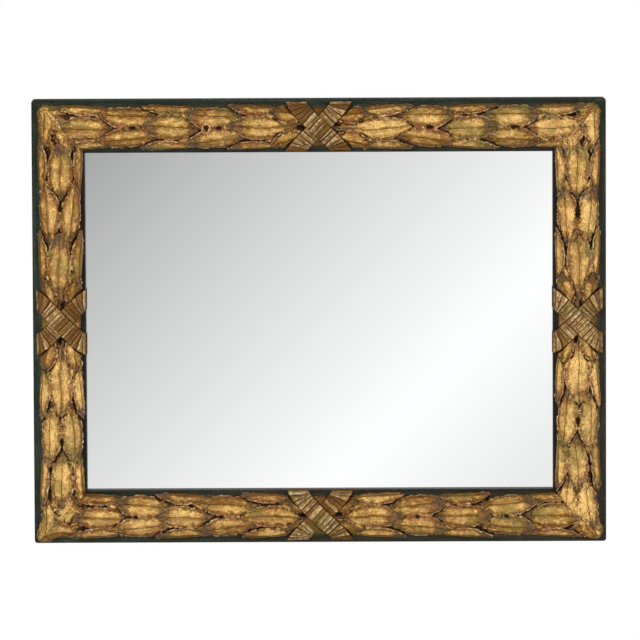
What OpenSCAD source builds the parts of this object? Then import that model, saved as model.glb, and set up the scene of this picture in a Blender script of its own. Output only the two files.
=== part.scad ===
// Neoclassical wall mirror: a painted frame carrying a gilt laurel garland that is
// tied at the middle of each side by a crossed, pleated ribbon.
// The front faces -Y, up is +Z, and the origin is the middle of the whole object.

/* [Frame] */
// Overall width of the frame
frame_w = 1016; // [800:1:1300]
// Overall height of the frame
frame_h = 790; // [600:1:1000]
// Face width of each rail
rail_w = 94.5; // [85:0.5:120]
// Thickness of the rails
rail_d = 28; // [24:1:40]
// Flat border left outside the garland
border_out = 11.5; // [8:0.5:20]
// Flat border left beside the glass
border_in = 8.5; // [5:0.5:15]
// Radius of the outer corners, seen from the front
corner_r = 6; // [2:0.5:10]

/* [Garland] */
// Height of the round core that carries the leaves
core_h = 21; // [16:0.5:28]
// Length of a laurel leaf
leaf_l = 118; // [90:1:140]
// Distance between two rows of leaves
row_pitch = 81.5; // [60:0.5:100]
// Distance from the middle of a side to the first leaf tips
first_tip = 83; // [70:1:100]
// How far the leaf tips stand above the core
leaf_rise = 5; // [3:0.5:8]

/* [Ribbon] */
// Width of the ribbon
band_w = 31; // [24:1:40]
// Angle between the ribbon and the side it crosses
band_angle = 47; // [40:1:60]
// Thickness of the ribbon above the core
band_t = 5; // [3:0.5:8]
// Number of pleats from one end of a ribbon to the other
pleats = 21; // [11:2:27]
// Depth of the pleats
pleat_d = 1.6; // [0.5:0.1:3]

/* [Mirror and back] */
// Thickness of the mirror glass
glass_t = 5; // [3:0.5:6]
// Thickness of the cushion sheet behind the glass
cushion_t = 3; // [2:0.5:5]
// Thickness of the backing board
board_t = 6; // [3:0.5:8]
// Width of the rabbet that holds the glass
rabbet_w = 10; // [7:0.5:14]
// Height of the hanging rings above the middle of the frame
hanger_z = 140; // [80:5:300]

/* [Hidden] */

// Each side is drawn lying along X: Y points away from the glass and Z to the front.
// Zero is the middle of the garland on the plane of the frame's back.
garland_w = rail_w - border_out - border_in;
core_a = garland_w / 2 - 3.25;
y_out = border_out + garland_w / 2;
y_sight = y_out - rail_w;
half_w = frame_w / 2;
half_h = frame_h / 2;
sight_w = frame_w - 2 * rail_w;
sight_h = frame_h - 2 * rail_w;
rabbet_d = glass_t + cushion_t + board_t;
bumper_t = 7;
knot_rise = 10;
crest = rail_d + core_h + knot_rise;
back_y = (crest - bumper_t) / 2;
edge_round = 2.5;

// Turns a piece drawn on the top side to the side at this angle, seen from the front.
module on_side(angle, reach) {
    translate([0, back_y, 0])
        rotate([0, angle, 0])
            translate([0, 0, reach - y_out])
                rotate([90, 0, 0]) children();
}

TOP = 0;
RIGHT = 90;
BOTTOM = 180;
LEFT = 270;

// Rails

// Where the inner hole of a rail's screw lies, measured along the side
button_reach = 0.27;
button_y = y_sight + rabbet_w + 9;
screw_r = 2;
hanger_screw_r = 1.7;
hanger_y = 4;
hanger_hole_1 = 10.5;
hanger_hole_2 = 30;

function arc(cx, cy, r, from, to, n) =
    [for (i = [0:n]) let (a = from + (to - from) * i / n) [cx + r * cos(a), cy + r * sin(a)]];

// Outline of a mitred rail from the front, with its share of the rounded corners
function rail_plan(half) = concat(
    arc(half - corner_r, y_out - corner_r, corner_r, 45, 90, 4),
    arc(corner_r - half, y_out - corner_r, corner_r, 90, 135, 4),
    [[rail_w - half, y_sight], [half - rail_w, y_sight]]
);

// Section of a rail: outer edge, painted face, sight edge, rabbet and back
function rail_section() = concat(
    [[y_out, 0]],
    arc(y_out - edge_round, rail_d - edge_round, edge_round, 0, 90, 3),
    arc(y_sight + edge_round, rail_d - edge_round, edge_round, 90, 180, 3),
    [
        [y_sight, rabbet_d],
        [y_sight + rabbet_w, rabbet_d],
        [y_sight + rabbet_w, 0]
    ]
);

spline_l = 46;
spline_w = 22;
spline_t = 3;
spline_inset = 38;

module spline(half) {
    translate([half - spline_inset, y_out - spline_inset, rail_d - 8])
        rotate([0, 0, 45]) cube([spline_l, spline_w, spline_t], center = true);
}

module rail(half, hanger_side) {
    difference() {
        intersection() {
            rotate([90, 0, 90])
                linear_extrude(height = 2 * half, center = true) polygon(rail_section());
            linear_extrude(height = rail_d) polygon(rail_plan(half));
        }
        spline(half);
        mirror([1, 0, 0]) spline(half);
        for (side = [-1, 1])
            translate([side * button_reach * 2 * half, button_y, -1])
                cylinder(h = 15, r = screw_r + 0.03, $fn = 32);
        if (hanger_side != 0)
            for (d = [hanger_hole_1, hanger_hole_2])
                translate([hanger_side * (hanger_z - d), hanger_y, -1])
                    cylinder(h = 19, r = hanger_screw_r + 0.03, $fn = 32);
    }
}

// Laurel garland

// A point of the garland: x along the side, phi round the core, lift above its surface
function on_core(x, phi, lift) =
    [x, (core_a + lift) * sin(phi), rail_d + (core_h + lift) * cos(phi)];

leaf_stations = [0.12, 0.38, 0.68, 0.91];
flank_stations = [0.2, 0.55, 0.88];
leaf_half_angle = 31;

// Half width of a leaf at u, from 0 at its base to 1 at its tip
function leaf_spread(u) = pow(sin(180 * u), 0.6);

// Height of a leaf above the core at u
function leaf_lift(u) = -1.5 + (leaf_rise + 1.5) * u + sin(180 * u);

module leaf(tip, phi, size, stations) {
    for (side = [-1, 1]) {
        ends = [for (u = [0, 1]) on_core(tip + (u - 1) * leaf_l, phi, leaf_lift(u) - 1)];
        crown = [for (u = stations, v = [0, 0.45, 1])
            let (spread = size * leaf_half_angle * leaf_spread(u))
            let (shape = v == 0 ? -1.3 : (v == 1 ? -0.8 : 0.7))
            on_core(tip + (u - 1) * leaf_l, phi + side * v * spread, leaf_lift(u) + shape)];
        root = [for (u = [0.1, 0.9], v = [0, 1])
            let (spread = size * leaf_half_angle * leaf_spread(u))
            on_core(tip + (u - 1) * leaf_l, phi + side * v * spread, -4)];
        points = concat(ends, crown, root);
        hull() polyhedron(points, [for (i = [0:len(points) - 3]) [i, i + 1, i + 2]]);
    }
}

pair_angle = 32;
flank_angle = 66;
last_row = 5;
berry_1 = 48;
berry_2 = 68;

// Two berries lie between a pair of leaves, behind their tips
module berries(tip) {
    for (back = [berry_1, berry_2])
        translate(on_core(tip - back, 0, -3)) cylinder(h = 6, r1 = 8, r2 = 5, $fn = 8);
}

module leaf_rows() {
    for (k = [0:last_row]) {
        tip = first_tip + k * row_pitch;
        if (k % 2 == 1) {
            leaf(tip, 0, 1, leaf_stations);
            for (side = [-1, 1]) leaf(tip, side * flank_angle, 0.85, flank_stations);
        } else {
            for (side = [-1, 1]) leaf(tip, side * pair_angle, 0.95, leaf_stations);
            if (k > 0) berries(tip);
        }
    }
}

core_steps = 8;

// The plain half-round core; it reaches below the painted face, where it is cut off later
module core(from, to) {
    profile = concat(
        [[-core_a, rail_d - 5]],
        [for (i = [0:core_steps])
            let (phi = -90 + 180 * i / core_steps)
            [core_a * sin(phi), rail_d + core_h * cos(phi)]],
        [[core_a, rail_d - 5]]
    );
    translate([from, 0, 0]) rotate([90, 0, 90]) linear_extrude(height = to - from) polygon(profile);
}

// The space of one half side: from its middle to the mitre, above the painted face
module half_side(half) {
    translate([0, 0, rail_d])
        linear_extrude(height = 60)
            polygon([
                [0, y_out],
                [half, y_out],
                [half - rail_w, y_sight],
                [0, y_sight]
            ]);
}

module laurel(half, lean) {
    intersection() {
        union() {
            core(0, half);
            difference() {
                leaf_rows();
                bands(lean);
            }
        }
        half_side(half);
    }
}

// Crossed ribbon

end_flare = 4;
band_reach = (rail_w / 2 + 4) / sin(band_angle);

// Smooth height of the ribbon above the back at a distance y from the garland's middle
function drape(y) =
    let (reach = core_a + band_t + 2)
    let (bulge = abs(y) < reach ? sqrt(1 - pow(y / reach, 2)) : 0)
    rail_d + 3 + (core_h + band_t - 3) * pow(bulge, 0.9);

// Extra height where one band passes over the other: level at first, then falling off
knot_flat = 13;
knot_end = 31;

function knot(q) =
    let (fall = max(0, min(1, (abs(q) - knot_flat) / (knot_end - knot_flat))))
    (knot_rise - band_t) * (1 + cos(180 * fall)) / 2;

function band_point(q, v, over, turn, z) =
    let (half = band_w / 2 + end_flare * pow(abs(q) / band_reach, 3))
    let (y = q * sin(band_angle) + v * half * cos(band_angle))
    [
        turn * (q * cos(band_angle) - v * half * sin(band_angle)),
        y,
        z < 0 ? rail_d - 2 : drape(y) + over * knot(q) - z
    ];

// One band: a row of pleats, each a ridge between two furrows that keys into its neighbours
module band(over, turn) {
    step = 2 * band_reach / pleats;
    for (i = [0:pleats - 1]) {
        q = -band_reach + (i + 0.5) * step;
        ridge = [for (v = [-1, 0, 1]) band_point(q, v, over, turn, 0)];
        furrow = [for (s = [-0.5, 0.5], v = [-1, 0, 1])
            band_point(q + s * step, v, over, turn, pleat_d)];
        foot = [for (s = [-0.5, 0.5], v = [-1, 1]) band_point(q + s * step, v, 0, turn, -1)];
        key = [for (s = [-0.6, 0.6], v = [-0.8, 0.8])
            band_point(q + s * step, v, over, turn, pleat_d + 1.2)];
        points = concat(ridge, furrow, foot, key);
        hull() polyhedron(points, [for (i = [0:len(points) - 3]) [i, i + 1, i + 2]]);
    }
}

module bands(lean) {
    band(1, lean);
    band(0, -lean);
}

module ribbon(lean) {
    intersection() {
        difference() {
            bands(lean);
            core(-120, 120);
        }
        translate([-120, y_sight + 0.8, rail_d]) cube([240, rail_w - 1.6, 60]);
    }
}

// Mirror and back

module sheet(d, t, gap) {
    w = sight_w + 2 * rabbet_w - 2 * gap;
    h = sight_h + 2 * rabbet_w - 2 * gap;
    translate([-w / 2, back_y - d - t, -h / 2]) cube([w, t, h]);
}

button_w = 13;
button_t = 2;
button_gap = 0.3;
overlap = 16;
heel = 9;

module turn_button(angle, reach, half, side) {
    on_side(angle, reach)
        translate([side * button_reach * 2 * half, button_y, -button_gap - button_t])
            difference() {
                linear_extrude(height = button_t)
                    union() {
                        translate([-button_w / 2, -overlap]) square([button_w, overlap + heel]);
                        for (end = [-overlap, heel])
                            translate([0, end]) circle(d = button_w, $fn = 48);
                    }
                translate([0, 0, -1]) cylinder(h = button_t + 2, r = screw_r + 0.06, $fn = 32);
            }
}

module button_screw(angle, reach, half, side) {
    on_side(angle, reach)
        translate([side * button_reach * 2 * half, button_y, -2 * button_gap - button_t]) {
            cylinder(h = 16, r = screw_r, $fn = 32);
            screw_head(4.2, 2.2, 0);
        }
}

// Round head with a cross recess, its flat side at zero
module screw_head(r, h, turn) {
    difference() {
        translate([0, 0, -h]) cylinder(h = h, r1 = r - 1.2, r2 = r, $fn = 32);
        for (a = [0, 90])
            translate([0, 0, -h]) rotate([0, 0, a + turn]) cube([r, 0.9, 1.6], center = true);
    }
}

strap_w = 16;
strap_l = 40;
strap_t = 2;
ring_wire = 1.75;
ring_axis = 3.2;
ring_w = 26;
arm_l = 6;

module hanger_seat(side) {
    translate([side * (half_w - y_out + hanger_y), back_y, hanger_z])
        rotate([-90, 0, 0]) children();
}

// A strap with two screw holes, rolled round the straight bar of its ring
module hanger_strap() {
    difference() {
        union() {
            linear_extrude(height = strap_t)
                union() {
                    translate([-strap_w / 2, 0]) square([strap_w, strap_l - strap_w / 2]);
                    translate([0, strap_l - strap_w / 2]) circle(d = strap_w, $fn = 48);
                }
            translate([-strap_w / 2, 0, ring_axis])
                rotate([0, 90, 0]) cylinder(h = strap_w, r = ring_axis, $fn = 48);
        }
        translate([-strap_w, 0, ring_axis])
            rotate([0, 90, 0]) cylinder(h = 2 * strap_w, r = ring_wire + 0.05, $fn = 48);
        for (d = [hanger_hole_1, hanger_hole_2])
            translate([0, d, -1]) cylinder(h = strap_t + 2, r = hanger_screw_r + 0.2, $fn = 32);
    }
}

// The ring stands up from its bar: two short arms and a half circle
module hanger_ring() {
    translate([0, 0, ring_axis]) {
        translate([-ring_w / 2, 0, 0])
            rotate([0, 90, 0]) cylinder(h = ring_w, r = ring_wire, $fn = 24);
        for (side = [-1, 1]) translate([side * ring_w / 2, 0, 0]) {
            sphere(r = ring_wire, $fn = 24);
            rotate([90, 0, 0]) cylinder(h = arm_l, r = ring_wire, $fn = 24);
        }
        translate([0, -arm_l, 0])
            rotate([0, 0, 180])
                rotate_extrude(angle = 180, $fn = 48)
                    translate([ring_w / 2, 0]) circle(r = ring_wire, $fn = 24);
    }
}

module hanger_screw_pair() {
    for (d = [hanger_hole_1, hanger_hole_2])
        translate([0, d, 0]) {
            translate([0, 0, -16]) cylinder(h = 16 + strap_t, r = hanger_screw_r, $fn = 32);
            translate([0, 0, strap_t]) mirror([0, 0, 1]) screw_head(3.5, 1.8, 20);
        }
}

bumper_r = 9;

module bumper(side) {
    translate([side * (half_w - 45), back_y, 45 - half_h])
        rotate([-90, 0, 0])
            rotate_extrude($fn = 64)
                polygon([[0, 0], [bumper_r, 0], [bumper_r, 4.5], [bumper_r - 1.5, bumper_t], [0, bumper_t]]);
}

// Nodes

module top_rail() { color("darkslategray") on_side(TOP, half_h) rail(half_w, 0); }
module bottom_rail() { color("darkslategray") on_side(BOTTOM, half_h) rail(half_w, 0); }
module left_rail() { color("darkslategray") on_side(LEFT, half_w) rail(half_h, 1); }
module right_rail() { color("darkslategray") on_side(RIGHT, half_w) rail(half_h, -1); }

module half_garland(angle, reach, half, flip, lean) {
    color("goldenrod") on_side(angle, reach) mirror([flip, 0, 0]) laurel(half, lean);
}

module laurel_top_left() { half_garland(TOP, half_h, half_w, 1, 1); }
module laurel_top_right() { half_garland(TOP, half_h, half_w, 0, -1); }
module laurel_bottom_left() { half_garland(BOTTOM, half_h, half_w, 0, -1); }
module laurel_bottom_right() { half_garland(BOTTOM, half_h, half_w, 1, 1); }
module laurel_left_upper() { half_garland(LEFT, half_w, half_h, 0, 1); }
module laurel_left_lower() { half_garland(LEFT, half_w, half_h, 1, -1); }
module laurel_right_upper() { half_garland(RIGHT, half_w, half_h, 1, -1); }
module laurel_right_lower() { half_garland(RIGHT, half_w, half_h, 0, 1); }

module ribbon_top() { color("gold") on_side(TOP, half_h) ribbon(-1); }
module ribbon_bottom() { color("gold") on_side(BOTTOM, half_h) ribbon(-1); }
module ribbon_left() { color("gold") on_side(LEFT, half_w) ribbon(1); }
module ribbon_right() { color("gold") on_side(RIGHT, half_w) ribbon(1); }

module mirror_glass() { color("lightsteelblue") sheet(board_t + cushion_t, glass_t, 1); }
module cushion_sheet() { color("whitesmoke") sheet(board_t, cushion_t, 2); }
module backing_board() { color("tan") sheet(0, board_t, 1); }

module mitre_splines() {
    color("burlywood")
        for (angle = [TOP, BOTTOM])
            on_side(angle, half_h) {
                spline(half_w);
                mirror([1, 0, 0]) spline(half_w);
            }
}

module turn_button_top_left() { color("darkgray") turn_button(TOP, half_h, half_w, -1); }
module turn_button_top_right() { color("darkgray") turn_button(TOP, half_h, half_w, 1); }
module turn_button_bottom_left() { color("darkgray") turn_button(BOTTOM, half_h, half_w, 1); }
module turn_button_bottom_right() { color("darkgray") turn_button(BOTTOM, half_h, half_w, -1); }
module turn_button_left_upper() { color("darkgray") turn_button(LEFT, half_w, half_h, 1); }
module turn_button_left_lower() { color("darkgray") turn_button(LEFT, half_w, half_h, -1); }
module turn_button_right_upper() { color("darkgray") turn_button(RIGHT, half_w, half_h, -1); }
module turn_button_right_lower() { color("darkgray") turn_button(RIGHT, half_w, half_h, 1); }

module turn_button_screws() {
    color("silver")
        for (side = [-1, 1]) {
            for (angle = [TOP, BOTTOM]) button_screw(angle, half_h, half_w, side);
            for (angle = [LEFT, RIGHT]) button_screw(angle, half_w, half_h, side);
        }
}

module hanger_strap_left() { color("silver") hanger_seat(-1) hanger_strap(); }
module hanger_strap_right() { color("silver") hanger_seat(1) hanger_strap(); }
module hanger_ring_left() { color("gainsboro") hanger_seat(-1) hanger_ring(); }
module hanger_ring_right() { color("gainsboro") hanger_seat(1) hanger_ring(); }

module hanger_screws() {
    color("dimgray") for (side = [-1, 1]) hanger_seat(side) hanger_screw_pair();
}

module wall_bumper_left() { color("black") bumper(-1); }
module wall_bumper_right() { color("black") bumper(1); }

top_rail();
bottom_rail();
left_rail();
right_rail();
laurel_top_left();
laurel_top_right();
laurel_bottom_left();
laurel_bottom_right();
laurel_left_upper();
laurel_left_lower();
laurel_right_upper();
laurel_right_lower();
ribbon_top();
ribbon_bottom();
ribbon_left();
ribbon_right();
mirror_glass();
cushion_sheet();
backing_board();
mitre_splines();
turn_button_top_left();
turn_button_top_right();
turn_button_bottom_left();
turn_button_bottom_right();
turn_button_left_upper();
turn_button_left_lower();
turn_button_right_upper();
turn_button_right_lower();
turn_button_screws();
hanger_strap_left();
hanger_strap_right();
hanger_ring_left();
hanger_ring_right();
hanger_screws();
wall_bumper_left();
wall_bumper_right();
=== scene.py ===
"""Neoclassical wall mirror: a dark green frame that carries a gilt laurel garland,
tied at the middle of each side by a crossed, pleated ribbon."""

import math

import bmesh
import bpy
import numpy as np
from bpy.props import FloatProperty, FloatVectorProperty, IntProperty, PointerProperty
from mathutils import Matrix, Vector


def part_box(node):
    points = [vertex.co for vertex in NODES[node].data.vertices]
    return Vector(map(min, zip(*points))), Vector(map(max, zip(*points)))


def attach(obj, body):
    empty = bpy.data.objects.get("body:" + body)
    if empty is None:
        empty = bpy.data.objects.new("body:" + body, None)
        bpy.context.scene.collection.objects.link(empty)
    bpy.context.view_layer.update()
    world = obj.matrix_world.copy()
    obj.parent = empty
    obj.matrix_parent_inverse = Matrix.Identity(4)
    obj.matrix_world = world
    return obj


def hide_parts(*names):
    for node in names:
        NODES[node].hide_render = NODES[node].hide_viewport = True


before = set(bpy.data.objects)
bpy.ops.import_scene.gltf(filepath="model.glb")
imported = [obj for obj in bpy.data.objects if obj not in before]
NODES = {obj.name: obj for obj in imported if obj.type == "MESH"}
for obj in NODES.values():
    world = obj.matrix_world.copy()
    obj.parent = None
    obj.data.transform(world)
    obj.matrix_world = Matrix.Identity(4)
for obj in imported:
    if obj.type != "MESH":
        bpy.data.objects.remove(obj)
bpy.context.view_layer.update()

bl_info = {
    "name": "Laurel Wall Mirror",
    "version": (1, 0, 0),
    "blender": (4, 5, 0),
    "location": "View3D > Sidebar > Mirror",
    "description": "Finishes a wall mirror with a carved laurel garland and pleated ribbons",
    "category": "Add Mesh",
}

MM = 0.001
WHITE = (1.0, 1.0, 1.0)

# Each side is drawn lying along X: Y points away from the glass and Z to the front.
# Zero is the middle of the garland on the plane of the frame's back. A side has its turn
# in degrees, its distance from the middle of the mirror and half its length.
HALF_W, BACK_Y, HALF_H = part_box("top_rail")[1]
SIDES = {
    "top": (0, HALF_H, HALF_W),
    "right": (90, HALF_W, HALF_H),
    "bottom": (180, HALF_H, HALF_W),
    "left": (270, HALF_W, HALF_H),
}
# Each run of laurel: its side and whether it goes towards -X there. In mm, where its first
# broad leaf ends, the distance between its rows and how far its corner reaches from the
# garland's middle. How much brighter its gilding is painted. In mm, how far past a broad
# leaf its dark hole lies and half the hole's length. The carver went by eye.
RUNS = {
    "laurel_top_left": ("top", True, 160, 75.5, 49, 0.0, 18, 8),
    "laurel_top_right": ("top", False, 167, 75.5, 50, 0.1, 30, 9),
    "laurel_bottom_left": ("bottom", False, 138, 76, 59, 0.0, 38, 5),
    "laurel_bottom_right": ("bottom", True, 147, 79, 55, 0.0, 26, 5),
    "laurel_left_upper": ("left", False, 162, 81, 49, -0.1, 44, 10),
    "laurel_left_lower": ("left", True, 168, 81, 59, 0.75, 44, 9),
    "laurel_right_upper": ("right", True, 164, 78, 50, 0.6, 32, 16),
    "laurel_right_lower": ("right", False, 150, 76, 55, 0.8, 28, 10),
}
RINGED = "laurel_top_left"  # the run where one berry stands clear as a bright ring
# Which way each ribbon's upper band leans on its side, and how much brighter it is painted, with
# more painted highlights
TIES = {"top": (-1, -0.04), "bottom": (-1, 0.10), "left": (1, 0.06), "right": (1, 0.20)}

# How far a leaf strays from its row in mm, in radians and in size
STRAY, STRAY_TURN, STRAY_SIZE = (-2.5, 2.5), (-0.04, 0.04), (0.94, 1.06)
# In mm, how deep the dark holes are, how far from a run's corner they end, and the clear
# berry's hole: half its length, half its width and its depth
HOLE_DEPTH, HOLE_END, CLEAR_HOLE = 3.4, 85, (4.2, 4.2, 1.8)
PATTERN_STEP = 0.83  # keeps the gilding of one run from looking like the next
# Points along a leaf, steps across its top and points across its underside
STATIONS, ACROSS, UNDER = 88, 26, 5
BERRY_PROFILE = (
    (0, 0.3), (1.3, 0.1), (2.3, -0.8), (3.1, -1.6), (3.9, -1.5), (4.6, 0.1), (5.5, 1.3),
    (6.4, 1.2), (7.2, 0.0), (7.2, -5.0), (0, -5.0),
)
SCREW_PROFILE = ((0.28, 1.0), (0.55, 0.95), (0.78, 0.80), (0.93, 0.52), (1.0, 0.22), (1.0, 0.0))
PLEAT_STEPS, BAND_STEPS = 16, 24  # steps along a pleat and across a band
FLOOR_RADIUS = 4.5
CARD_HALF_W, CARD_HALF_H, CARD_Y, CARD_Z = 0.95, 0.85, -2.0, -0.21


def length(millimetres, text):
    return FloatProperty(description=text, default=millimetres * MM, unit="LENGTH", precision=4)


def degrees(value, text):
    return FloatProperty(description=text, default=math.radians(value), subtype="ANGLE")


def amount(value, text):
    return FloatProperty(description=text, default=value)


def count(value, text, least=0):
    return IntProperty(description=text, default=value, min=least)


def colour(value, text):
    return FloatVectorProperty(description=text, default=value, subtype="COLOR", size=3,
                               min=0, max=1)


class GarlandSettings(bpy.types.PropertyGroup):
    core_half_width: length(34, "Half the width of the round core")
    core_height: length(21, "Height of the core above the painted face")
    leaf_length: length(118, "Length of a laurel leaf")
    leaf_rise: length(5, "How far the broad leaves' tips stand above the core")
    side_rise: length(6.5, "How far the other tips stand above the core")
    leaf_thickness: length(2.4, "Thickness of a leaf at its edge")
    crown: length(2.6, "How far each half blade swells")
    ragged: length(2.2, "Depth of the notches along the leaf edges")
    lumps: length(1.6, "Unevenness left by the carver's tools")
    berry_radius: length(7.2, "Radius of a berry with its cup")
    leaf_angle: degrees(36, "Half the angle that a leaf takes round the core")
    pair_angle: degrees(38, "Where the two leaves of an even row lie on the core")
    flank_angle: degrees(66, "Where the outer leaves of an odd row lie")
    rows: count(7, "Rows of leaves in a run", 1)
    seed: count(7, "Changes the carver's irregularities")


class GildingSettings(bpy.types.PropertyGroup):
    # Bright and brown also carry painted light: bright where the gilding faces the front
    bright: colour((0.74, 0.465, 0.155), "Rubbed gold on the fullest parts")
    gold: colour((0.400, 0.215, 0.052), "Gold under its toning wash")
    # Also the painted shade on the flanks that turn away from the front
    brown: colour((0.168, 0.073, 0.008), "Heavily toned flanks and tips")
    russet: colour((0.27, 0.098, 0.034), "Where the red ground shows through")
    olive: colour((0.20, 0.155, 0.035), "Where the toning wash has turned green")
    # Also laid in the hollows and between the leaves as painted shade
    bole: colour((0.046, 0.016, 0.002), "Clay ground in the hollows")
    # Painted shade on the steep flanks
    umber: colour((0.085, 0.038, 0.014), "Wash on the steep flanks")
    # Painted shade in the creases
    crease: colour((0.085, 0.026, 0.008), "Dark lines in the creases")
    # Painted shade, near black, in the deepest hollows and on the undersides
    depth: colour((0.014, 0.007, 0.003), "Bottom of the deepest hollows")
    # Also painted highlights on the leaf edges, the berry rims and the pleat crests
    worn: colour((0.80, 0.56, 0.29), "Where the edges are rubbed to the gesso")
    # Also painted shade on the leaf bases
    tarnish: colour((0.112, 0.078, 0.046), "Grime on the leaf tips")
    # Painted highlights on crests and edges
    glint: colour((0.95, 0.77, 0.48), "Burnished spots on crests and edges")


class RibbonSettings(bpy.types.PropertyGroup):
    width: length(30, "Width of a band")
    flare: length(1.5, "How much a band widens to its ends")
    thickness: length(5, "Height of a band above the core")
    knot_rise: length(10, "How far the crossing stands above the core")
    outer_end: length(44, "How far a band reaches towards the outer edge")
    inner_end: length(44.8, "How far a band reaches towards the glass")
    pleat_depth: length(3.0, "Depth of the pleats")
    angle: degrees(43, "Angle between a band and its side at the crossing")
    end_angle: degrees(60, "Angle between a band and its side at the band's ends")
    pleats: count(16, "Pleats along a band", 5)
    seed: count(3, "Changes the pleats' unevenness")


class FrameSettings(bpy.types.PropertyGroup):
    rail_width: length(94.5, "Face width of a rail")
    rail_depth: length(28, "Thickness of a rail")
    border_out: length(11.5, "Flat border outside the garland")
    border_in: length(8.5, "Flat border beside the glass")
    paint: colour((0.011, 0.024, 0.014), "Dark green paint")
    paint_light: colour((0.026, 0.040, 0.026), "Where the paint lies thin")
    dust: colour((0.045, 0.047, 0.034), "Dust in the paint's pores")
    film: colour((0.024, 0.014, 0.006), "Brown film of old varnish")
    # Painted shade: the green darkens towards the top of the frame
    deep: colour((0.002, 0.008, 0.003), "Deeper green of the top rail")
    rubbed: colour((0.11, 0.085, 0.055), "Edges rubbed to the ground")
    smudge: colour((0.17, 0.12, 0.06), "Gilding smudged beside the garland")
    # Painted shadow of the garland on the border beside the glass, with dirt
    shadow: colour((0.012, 0.008, 0.005), "Dirt beside the glass")
    seam: colour((0.008, 0.008, 0.006), "Line of the mitre")
    scuffed: colour((0.075, 0.080, 0.055), "Light brush marks")
    streaked: colour((0.005, 0.009, 0.007), "Dark brush marks")
    # Painted shade on the outer faces of the rails
    rim: colour((0.003, 0.005, 0.003), "Outer faces of the rails")
    wood: colour((0.37, 0.22, 0.105), "Unpainted back of the rails")


class BackSettings(bpy.types.PropertyGroup):
    board: colour((0.47, 0.32, 0.175), "Backing board")
    steel: colour((0.55, 0.54, 0.52), "Zinc plated steel")
    brass: colour((0.52, 0.36, 0.13), "Dull brass")
    rubber: colour((0.022, 0.021, 0.020), "Wall bumpers")


class StageSettings(bpy.types.PropertyGroup):
    floor: colour((0.80, 0.80, 0.79), "Pale floor")
    floor_drop: length(1500, "How far the floor lies below the middle")
    distance: length(14000, "From the camera to the mirror")
    aside: length(1.0, "How far the camera aims right of the middle")
    above: length(1.9, "How far the camera aims above the middle")
    lens: amount(444.2, "Focal length in mm")
    azimuth: degrees(0.3, "Camera's turn round the mirror")
    elevation: degrees(6, "Camera's height as an angle")
    roll: degrees(0.26, "Turn of the picture")
    key: amount(165, "Power of the key light")
    fill: amount(110, "Power of the fill light")
    rear: amount(125, "Power of the light behind the mirror")
    ambient: amount(0.26, "Light from all round")


def settings(group):
    return getattr(bpy.context.scene, "mirror_" + group)


def operation(kind, swapped=False):
    """A method of Value that adds a math node for two numbers."""
    def method(self, other):
        return self.graph.math(kind, *((other, self) if swapped else (self, other)))
    return method


class Value:
    """A socket that can be reckoned with: each operation adds a node to its tree."""
    __add__ = __radd__ = operation("ADD")
    __mul__ = __rmul__ = operation("MULTIPLY")
    __sub__, __rsub__ = operation("SUBTRACT"), operation("SUBTRACT", True)
    __truediv__, __pow__ = operation("DIVIDE"), operation("POWER")
    most, least = operation("MAXIMUM"), operation("MINIMUM")

    def __init__(self, graph, socket):
        self.graph, self.socket = graph, socket

    def __abs__(self):
        return self.graph.math("ABSOLUTE", self)

    def clamped(self):
        self.socket.node.use_clamp = True
        return self

    def span(self, low, high, to_low=0.0, to_high=1.0):
        """Low..high carried to to_low..to_high, smoothly and clamped."""
        return self.graph.out("ShaderNodeMapRange", {
            "Value": self, "From Min": low, "From Max": high, "To Min": to_low,
            "To Max": to_high,
        }, "Result", interpolation_type="SMOOTHSTEP")


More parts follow.
